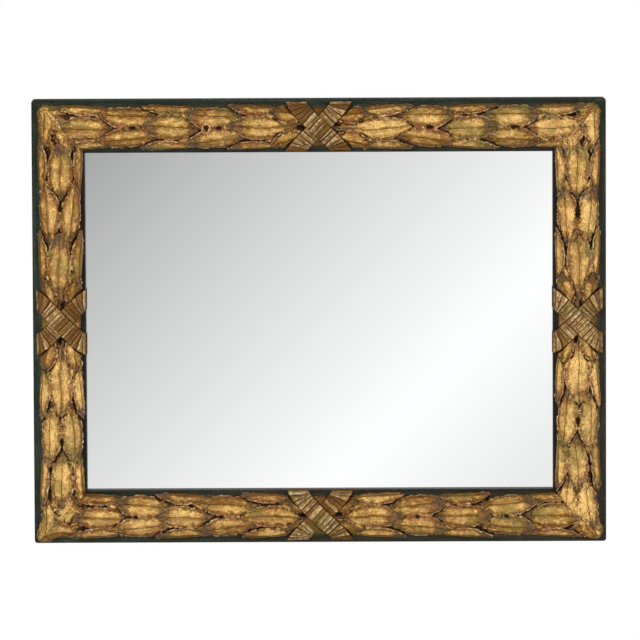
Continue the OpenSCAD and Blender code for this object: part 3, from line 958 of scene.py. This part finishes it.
def band_path(steps):
    """A band's middle line, the way its pleats run, its distance and its half width."""
    r = settings("ribbon")
    t = np.linspace(-r.inner_end / r.outer_end, 1, steps + 1)
    slow, steep = r.outer_end / math.tan(r.angle), r.outer_end / math.tan(r.end_angle)
    centre = np.stack([slow * t - (slow - steep) * t ** 3 / 3, r.outer_end * t], 1)
    run = np.stack([slow - (slow - steep) * t ** 2, np.full(steps + 1, r.outer_end)], 1)
    run /= np.linalg.norm(run, axis=1, keepdims=True)
    normal = np.stack([-run[:, 1], run[:, 0]], 1)
    fan = smooth(np.abs(t), 0.50, 1.0)[:, None]
    direction = (1 - fan) * normal + fan * np.array([-1.0, 0.0])
    direction /= np.linalg.norm(direction, axis=1, keepdims=True)
    half = (r.width / 2 + r.flare * np.abs(t) ** 3) / (direction * normal).sum(1)
    return centre, direction, np.hypot(*centre.T), half


def band(name, turn, over):
    """One smooth band, draped over the core, that fans out to its cut ends."""
    r, g, f = settings("ribbon"), settings("garland"), settings("frame")
    steps = r.pleats * PLEAT_STEPS
    centre, direction, q, half = band_path(steps)
    # Across the top, then down to the foot of both edges
    v = np.linspace(-1, 1, BAND_STEPS + 1)[[*range(BAND_STEPS + 1), -1, 0]]
    plane = centre[:, None] + (half[:, None] * v)[..., None] * direction[:, None]
    x, y = plane[..., 0] * turn, plane[..., 1]
    span = g.core_half_width + r.thickness + 2 * MM
    bulge = np.sqrt(np.clip(1 - (y / span) ** 2, 0, 1)) ** 0.9
    z = f.rail_depth + 3 * MM + (g.core_height + r.thickness - 3 * MM) * bulge
    fall = np.clip((q - 13 * MM) / (18 * MM), 0, 1)[:, None]
    z = z + over * (r.knot_rise - r.thickness) * (1 + np.cos(np.pi * fall)) / 2
    z = z - 0.7 * MM * np.abs(v) ** 6
    z[:, -2:] = f.rail_depth - 0.5 * MM
    phase = np.linspace(0, r.pleats, steps + 1)[:, None] + 0 * x
    upper, across = 1 + 0 * x, v + 0 * x
    upper[:, -2:] = across[:, -2:] = 0
    lie = np.stack([phase * 0.2, across * half[:, None], 0 * phase], -1)
    return mesh_object(name, np.stack([x, y, z], -1).reshape(-1, 3),
                       loft(steps + 1, len(v), turn > 0), along=phase.ravel(),
                       upper=upper.ravel(), across=across.ravel(), unrolled=lie.reshape(-1, 3))


class MIRROR_OT_ribbons(bpy.types.Operator):
    """Drapes and pleats the four crossed ribbons"""
    bl_idname = "mirror.ribbons"
    bl_label = "Crossed Ribbons"

    def execute(self, context):
        r = settings("ribbon")
        tree = pleat_tree()
        material = gilding("ribbon_gilding", 5.0, 1.3, 1.0, 0.30)
        for number, (side, (lean, rubbed)) in enumerate(TIES.items()):
            parts = [run_geometry(band(f"band_{side}_{over}", turn, over), tree, {
                "Depth": r.pleat_depth, "Unevenness": 1.1,
                "Seed": float(number * 57 + over * 23 + r.seed), "Material": material,
            }) for over, turn in ((1, lean), (0, -lean))]
            tie = join(parts, f"ribbon_{side}_carved")
            mesh = tie.data
            fold, shade = read(mesh, "fold"), read(mesh, "shade")
            upper, edge = read(mesh, "upper") > 0.5, np.abs(read(mesh, "across"))
            # Painted light on the pleats: highlights and brighter gold on the crests, shade in the
            # valleys and along the band edges, near black on the band sides
            crest_highlight = fold ** 1.5 * (0.86 + 0.14 * shade)
            valley_shade = np.clip((0.58 - fold) / 0.58, 0, 1) ** 0.8
            recess = np.maximum(valley_shade * 0.95, smooth(edge, 0.93, 1.0) * 0.6)
            write(mesh, recess=np.where(upper, recess, 1.4), height=fold, tip=0.3,
                  edge=np.where(upper, np.maximum(edge ** 6, crest_highlight), 0),
                  shade=shade + 0.5 * (fold - 0.6) + rubbed, facing=frontward(mesh))
            drop(mesh, "along", "across", "upper", "fold")
            mesh.shade_smooth()
            place_on_side(tie, side, False)
            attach(tie, "frame")
            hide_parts(f"ribbon_{side}")
        return {"FINISHED"}


def streaks(g, where, along_x):
    """Brush marks along X or Z, from 0 to 1."""
    return g.noise(where, 160.0, 4.0, 0.65, (0.06, 1.0, 1.0) if along_x else (1.0, 1.0, 0.06))


def wood_grain(g, where, along_x):
    """Grain along X or Z, from 0 to 1: the growth rings of a sawn board, and its fibres."""
    way = slice(None, None, 1 if along_x else -1)
    figure = g.noise(where, 26.0, 2.0, 0.45, (0.07, 1.0, 1.0)[way])
    fibre = g.noise(where, 520.0, 4.0, 0.7, (0.035, 1.0, 1.0)[way])
    return g.math("SINE", figure * 95.0) * 0.16 + fibre * 0.9 + figure * 0.5 - 0.18


class MIRROR_OT_rails(bpy.types.Operator):
    """Paints the four rails and leaves their backs bare"""
    bl_idname = "mirror.rails"
    bl_label = "Painted Rails"

    def execute(self, context):
        f = settings("frame")
        made, g, where = new_material("green_paint")
        x, y, z = g.split(where)
        beyond_x = abs(x) - (HALF_W - outer_edge())
        beyond_z = abs(z) - (HALF_H - outer_edge())
        across = beyond_x.most(beyond_z)
        upright = g.math("GREATER_THAN", beyond_x, beyond_z)
        outer, sight = outer_edge(), outer_edge() - f.rail_width
        face, garland = BACK_Y - f.rail_depth, garland_width() / 2
        cloud = g.noise(where, 28.0, 4.0, 0.6)
        patch = g.noise(where, 130.0, 4.0, 0.7)
        speck = g.noise(where, 520.0, 2.0, 0.6)
        streak, grain = (g.choose(upright, marks(g, where, True), marks(g, where, False))
                         for marks in (streaks, wood_grain))

        # The wear of the paint: a film to the lower right, rubbed edges, dirt and brush marks; and
        # painted shade: the garland's shadow beside the glass and the dark outer faces
        film = (x - z).span(-0.3, 0.5) * 0.16 + g.noise(where, 13.0, 4.0, 0.65)
        arris = across.span(outer - 3 * MM, outer - 0.4 * MM)
        arris = arris.most(across.span(sight + 3 * MM, sight + 0.6 * MM))
        arris *= y.span(face + 4 * MM, face + 1.2 * MM) * patch.span(0.50, 0.68)
        smudge = abs(across).span(garland + 4 * MM, garland - 1 * MM) * speck.span(0.42, 0.60)
        # Painted shadow and dirt beside the garland's inner edge, stronger on the upright rails
        garland_shade_and_dirt = across.span(6 * MM - garland, -2 * MM - garland) * (upright * 0.45 + 0.35)
        seam = abs(beyond_x - beyond_z).span(0.9 * MM, 0.3 * MM)
        brushed = streak * 0.8 + speck - garland_shade_and_dirt * 0.12 - 0.90
        # Painted shade on the outer faces, which are also made rougher
        rim = across.span(outer - 0.5 * MM, outer - 0.1 * MM)

        # The bare wood of the back and of the rabbet, with a ragged edge of paint
        dark = scaled(f.wood, 0.50, 0.42, 0.34)
        bare = g.layers(dark, (grain.span(0.22, 0.72), f.wood),
                        (cloud.span(0.5, 0.75) * 0.3, dark))
        inside = y.span(face + 13 * MM, face + 14.2 * MM) * across.span(
            sight + 11 * MM, sight + 9 * MM)
        rear = y.span(BACK_Y - 1.4 * MM, BACK_Y - 0.5 * MM).most(inside)
        ragged = (rear + patch * 0.4 - 0.2).span(0.35, 0.6)
        tone = g.layers(
            f.paint, (cloud.span(0.38, 0.66), f.paint_light),
            (patch.span(0.55, 0.75) * 0.4, f.dust), (film.span(0.46, 0.66, 0.0, 0.75), f.film),
            # Painted shade, darker towards the top of the frame
            (z.span(0.30, HALF_H - 20 * MM, 0.0, 0.45), f.deep), (arris * 0.7, f.rubbed),
            (smudge * 0.45, f.smudge), (garland_shade_and_dirt, f.shadow), (seam * 0.75, f.seam),
            (brushed.span(0.04, 0.30), f.scuffed), (brushed.span(-0.04, -0.24), f.streaked),
            (rim * 0.75, f.rim), (ragged, bare))
        dull = (patch * 0.22 + 0.30 + ragged * 0.3).clamped()
        relief = grain * ragged + streak * 0.2 + speck - seam * 2.0
        g.surface(Base_Color=tone, Roughness=dull.most(rim), Specular_IOR_Level=0.12,
                  Normal=g.bump(relief, 0.0004, 0.5))
        finish_nodes(made, "top_rail", "bottom_rail", "left_rail", "right_rail")
        return {"FINISHED"}


class MIRROR_OT_glass(bpy.types.Operator):
    """Silvers the mirror glass"""
    bl_idname = "mirror.glass"
    bl_label = "Mirror Glass"

    def execute(self, context):
        made, g, where = new_material("silvered_glass")
        film = g.noise(where, 9.0, 3.0, 0.5)
        g.surface(Base_Color=(0.97, 0.975, 0.975), Metallic=1.0,
                  Roughness=film.span(0.4, 0.8, 0.004, 0.02))
        finish_nodes(made, "mirror_glass")
        return {"FINISHED"}


class MIRROR_OT_backing(bpy.types.Operator):
    """Finishes the backing board, the cushion sheet and the mitre splines"""
    bl_idname = "mirror.backing"
    bl_label = "Backing"

    def execute(self, context):
        b = settings("back")
        made, g, where = new_material("backing_board")
        grain = wood_grain(g, where, True)
        cloud = g.noise(where, 6.0, 4.0, 0.6)
        pore = g.noise(where, 900.0, 2.0, 0.6, (0.08, 1.0, 1.0))
        dark = scaled(b.board, 0.64, 0.57, 0.48)
        tone = g.layers(dark, (grain.span(0.22, 0.72), b.board),
                        (cloud.span(0.45, 0.75) * 0.35, scaled(b.board, 1.25)),
                        (pore.span(0.6, 0.7) * 0.4, dark))
        g.surface(Base_Color=tone, Roughness=0.72, Specular_IOR_Level=0.3,
                  Normal=g.bump(grain + pore, 0.0003, 0.5))
        finish_nodes(made, "backing_board")
        finish_nodes(plain("grey_board", (0.50, 0.46, 0.40), (0.66, 0.62, 0.55),
                           (700.0, 3.0, 0.7), None, 0.0002, Roughness=0.9), "cushion_sheet")
        finish_nodes(plain("spline_wood", (0.34, 0.22, 0.11), (0.58, 0.42, 0.24),
                           (220.0, 4.0, 0.6, (1.0, 1.0, 0.3)), (0.35, 0.7), 0.0003,
                           Roughness=0.65), "mitre_splines")
        return {"FINISHED"}


def plain(name, dark, light, noise, span, depth, strength=0.5, **sockets):
    """A dull material with one pattern in its colour and its relief."""
    made, g, where = new_material(name)
    pattern = g.noise(where, *noise)
    g.surface(Base_Color=g.mix(pattern.span(*span) if span else pattern, dark, light),
              Normal=g.bump(pattern, depth, strength), **sockets)
    return made


def metal(name, tone, bright, dulled, rough):
    """A plated or cast metal with brushed streaks and dull patches."""
    made, g, where = new_material(name)
    streak = g.noise(where, 420.0, 3.0, 0.6, (0.15, 1.0, 1.0))
    patch = g.noise(where, 120.0, 4.0, 0.65)
    g.surface(
        Base_Color=g.mix(patch.span(0.45, 0.72), scaled(tone, bright), scaled(tone, dulled)),
        Metallic=1.0, Roughness=patch * 0.28 + streak * 0.14 + rough,
        Normal=g.bump(streak, 0.0002, 0.35))
    return made


def screw_template(name, radius, height, shank):
    """A round screw head with a cross recess, its seat at zero and its crown towards +Z."""
    profile = [(radius * r, height * z) for r, z in SCREW_PROFILE]
    head = turned(name, [*profile, (shank, 0.0), (shank, -1.2 * MM)], 32, True)
    bits = []
    for quarter in (0, 1):
        matrix = (
            Matrix.Rotation(quarter * math.pi / 2, 4, "Z")
            @ Matrix.Translation((0, 0, height * 1.05))
            @ Matrix.Diagonal((radius * 1.15, radius * 0.24, height * 1.3, 1))
        )
        bm = bmesh.new()
        bmesh.ops.create_cube(bm, size=1.0, matrix=matrix)
        bits.append(mesh_object("recess", ()))
        bm.to_mesh(bits[-1].data)
        bm.free()
        cutter = head.modifiers.new("Recess", "BOOLEAN")
        cutter.object, cutter.operation, cutter.solver = bits[-1], "DIFFERENCE", "EXACT"
    bake(head)
    for bit in bits:
        bpy.data.objects.remove(bit)
    return head


def drive_screws(name, spots, size, seed, material):
    """Screw heads on points, each turned as it was left by the driver."""
    g, start = geometry_tree("Screw Heads", {
        "Head": "Object", "Seed": "Int", "Material": "Material"})
    spin = g.out("FunctionNodeRandomValue", {"Seed": start["Seed"], 2: 0.0, 3: math.pi / 2}, 1,
                 data_type="FLOAT")
    solid = g.instances(start["Geometry"], start["Head"], g.xyz(-math.pi / 2, spin))
    tree = g.finish(solid, start["Material"])
    head = screw_template(name, *(part * MM for part in size))
    screws = run_geometry(mesh_object(name + "_finished", spots), tree,
                          {"Head": head, "Seed": seed, "Material": material})
    bpy.data.objects.remove(head)
    return screws


class MIRROR_OT_buttons(bpy.types.Operator):
    """Finishes the turn buttons and drives their screws"""
    bl_idname = "mirror.buttons"
    bl_label = "Turn Buttons"

    def execute(self, context):
        b = settings("back")
        brass = metal("dull_brass", b.brass, 1.0, 0.55, 0.22)
        steel = metal("zinc_steel", b.steel, 1.0, 0.7, 0.20)
        buttons = [name for name in NODES
                   if name.startswith("turn_button") and name != "turn_button_screws"]
        finish_nodes(brass, *buttons)
        spots = []
        for name in buttons:
            low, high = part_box(name)
            middle = [(a + b) / 2 for a, b in zip(low, high)]
            outward = 2 if high[0] - low[0] < high[2] - low[2] else 0
            middle[outward] += math.copysign(3.5 * MM, middle[outward])
            spots.append((middle[0], high[1] + 0.3 * MM, middle[2]))
        screws = drive_screws("button_screws", spots, (4.2, 2.2, 2.0), 4, steel)
        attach(screws, "frame")
        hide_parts("turn_button_screws")
        return {"FINISHED"}


class MIRROR_OT_hangers(bpy.types.Operator):
    """Finishes the strap hangers, their rings and their screws"""
    bl_idname = "mirror.hangers"
    bl_label = "Hangers"

    def execute(self, context):
        b = settings("back")
        strap = metal("hanger_steel", b.steel, 1.0, 0.62, 0.26)
        finish_nodes(strap, "hanger_strap_left", "hanger_strap_right",
                     "hanger_ring_left", "hanger_ring_right")
        dark = metal("screw_steel", b.steel, 0.7, 0.45, 0.30)
        spots = []
        for side in ("left", "right"):
            low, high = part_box(f"hanger_strap_{side}")
            axis = high[2] - 3.2 * MM
            for reach in (10.5, 30):
                spots.append(((low[0] + high[0]) / 2, BACK_Y + 2 * MM, axis - reach * MM))
        screws = drive_screws("hanger_screws", spots, (3.5, 1.8, 1.7), 9, dark)
        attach(screws, "frame")
        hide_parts("hanger_screws")
        return {"FINISHED"}


class MIRROR_OT_bumpers(bpy.types.Operator):
    """Finishes the two wall bumpers"""
    bl_idname = "mirror.bumpers"
    bl_label = "Wall Bumpers"

    def execute(self, context):
        made, g, where = new_material("bumper_rubber")
        bloom = g.noise(where, 260.0, 4.0, 0.65)
        tone = g.mix(bloom.span(0.45, 0.75), settings("back").rubber, (0.05, 0.048, 0.045))
        g.surface(Base_Color=tone, Roughness=bloom * 0.2 + 0.6,
                  Normal=g.bump(g.noise(where, 1400.0), 0.0002, 0.4))
        finish_nodes(made, "wall_bumper_left", "wall_bumper_right")
        return {"FINISHED"}


def stage_floor(s):
    """A round floor that pales to white at its rim."""
    floor = turned("floor", [(0, -s.floor_drop), (FLOOR_RADIUS, -s.floor_drop)], 64)
    made, g, where = new_material("pale_floor")
    away = g.out("ShaderNodeVectorMath", {0: g.vector("MULTIPLY", where, (1.0, 1.0, 0.0))},
                 "Value", operation="LENGTH")
    blend = g.out("ShaderNodeMixShader", {
        "Fac": away.span(1.2, 4.2), 1: g.out("ShaderNodeBsdfDiffuse", {"Color": s.floor}),
        2: g.out("ShaderNodeEmission", {"Color": WHITE, "Strength": 1.0})})
    g.add("ShaderNodeOutputMaterial", {"Surface": blend})
    floor.data.materials.append(made)
    return floor


def reflection_card():
    """A softly graded card in front of the glass, seen only in reflections."""
    card = mesh_object("reflection_card", [
        (x * CARD_HALF_W, CARD_Y, z * CARD_HALF_H + CARD_Z)
        for x, z in ((-1, -1), (1, -1), (1, 1), (-1, 1))], [(0, 3, 2, 1)])
    made, g, where = new_material("graded_card")
    x, _, z = g.split(where)
    z = z - CARD_Z
    greys, ramp = g.add("ShaderNodeValToRGB", {"Fac": (x - z) * 0.5 + 0.5})
    stops = ramp.color_ramp.elements
    stops[0].position, stops[1].position = 0.09, 0.87
    for stop, level in zip(stops, (0.395, 0.85)):
        stop.color = (level, level, level, 1)
    stops.new(0.675).color = (1.03, 1.03, 1.03, 1)
    inset = (CARD_HALF_W - abs(x)).least(CARD_HALF_H - abs(z))
    tone = g.mix(inset.span(0.16, 0.0), greys["Color"], WHITE)
    light = g.out("ShaderNodeEmission", {"Color": tone, "Strength": 1.0})
    g.add("ShaderNodeOutputMaterial", {"Surface": light})
    card.data.materials.append(made)
    for kind in ("camera", "diffuse", "transmission", "volume_scatter", "shadow"):
        setattr(card, "visible_" + kind, False)
    return card


def white_world(s):
    """White where the camera or a reflection sees it, and dimmer as a light."""
    world = bpy.data.worlds.new("studio")
    world.use_nodes = True
    g = Graph(world.node_tree)
    path, _ = g.add("ShaderNodeLightPath")
    shown = path["Is Camera Ray"].most(path["Is Glossy Ray"].most(path["Is Transmission Ray"]))
    light = g.out("ShaderNodeBackground", {
        "Color": WHITE, "Strength": shown * (1.0 - s.ambient) + s.ambient})
    g.add("ShaderNodeOutputWorld", {"Surface": light})
    bpy.context.scene.world = world


def area_light(name, place, size, power):
    """A square light that faces the mirror's middle."""
    data = bpy.data.lights.new(name, "AREA")
    data.size, data.energy = size, power
    made = bpy.data.objects.new(name, data)
    made.location = place
    made.rotation_euler = (-Vector(place)).to_track_quat("-Z", "Y").to_euler()
    bpy.context.scene.collection.objects.link(made)


class MIRROR_OT_stage(bpy.types.Operator):
    """Sets the floor, the lights, the graded card and the camera"""
    bl_idname = "mirror.stage"
    bl_label = "Studio Stage"

    def execute(self, context):
        s = settings("stage")
        stage_floor(s)
        reflection_card()
        white_world(s)
        area_light("key", (-3.0, -3.9, 1.9), 1.8, s.key)
        area_light("fill", (3.2, -3.9, 0.2), 1.8, s.fill)
        area_light("rear", (1.0, 4.2, 2.2), 3.0, s.rear)
        a, e = s.azimuth, s.elevation
        back = Vector((math.sin(a) * math.cos(e), -math.cos(a) * math.cos(e), math.sin(e)))
        place = Vector((s.aside, 0.0, s.above)) + back * s.distance
        data = bpy.data.cameras.new("camera")
        data.sensor_width, data.lens, data.clip_end = 36, s.lens, 200
        camera = bpy.data.objects.new("camera", data)
        context.scene.collection.objects.link(camera)
        turn = (-back).to_track_quat("-Z", "Y").to_matrix().to_4x4()
        camera.matrix_world = (
            Matrix.Translation(place) @ turn @ Matrix.Rotation(-s.roll, 4, "Z")
        )
        context.scene.camera = camera
        context.scene.view_settings.view_transform = "Standard"
        return {"FINISHED"}


OPERATORS = (
    MIRROR_OT_rails, MIRROR_OT_laurel, MIRROR_OT_ribbons, MIRROR_OT_glass, MIRROR_OT_backing,
    MIRROR_OT_buttons, MIRROR_OT_hangers, MIRROR_OT_bumpers, MIRROR_OT_stage,
)
SETTINGS = {
    "frame": FrameSettings,
    "garland": GarlandSettings,
    "gilding": GildingSettings,
    "ribbon": RibbonSettings,
    "back": BackSettings,
    "stage": StageSettings,
}


class MIRROR_PT_panel(bpy.types.Panel):
    """Lists the mirror's pieces and their sizes and colours"""
    bl_idname = "MIRROR_PT_panel"
    bl_label = "Laurel Wall Mirror"
    bl_space_type = "VIEW_3D"
    bl_region_type = "UI"
    bl_category = "Mirror"

    def draw(self, context):
        for operator in OPERATORS:
            self.layout.operator(operator.bl_idname)
        for group, kind in SETTINGS.items():
            box = self.layout.box()
            for key in kind.__annotations__:
                box.prop(settings(group), key, text=key.replace("_", " ").capitalize())


def register():
    for group, kind in SETTINGS.items():
        bpy.utils.register_class(kind)
        setattr(bpy.types.Scene, "mirror_" + group, PointerProperty(type=kind))
    for kind in (*OPERATORS, MIRROR_PT_panel):
        bpy.utils.register_class(kind)


def unregister():
    for kind in (MIRROR_PT_panel, *reversed(OPERATORS)):
        bpy.utils.unregister_class(kind)
    for group, kind in reversed(SETTINGS.items()):
        delattr(bpy.types.Scene, "mirror_" + group)
        bpy.utils.unregister_class(kind)


def main():
    register()
    bpy.ops.mirror.stage()
    bpy.ops.mirror.rails()
    bpy.ops.mirror.laurel()
    bpy.ops.mirror.ribbons()
    bpy.ops.mirror.glass()
    bpy.ops.mirror.backing()
    bpy.ops.mirror.buttons()
    bpy.ops.mirror.hangers()
    bpy.ops.mirror.bumpers()


if __name__ == "__main__":
    main()
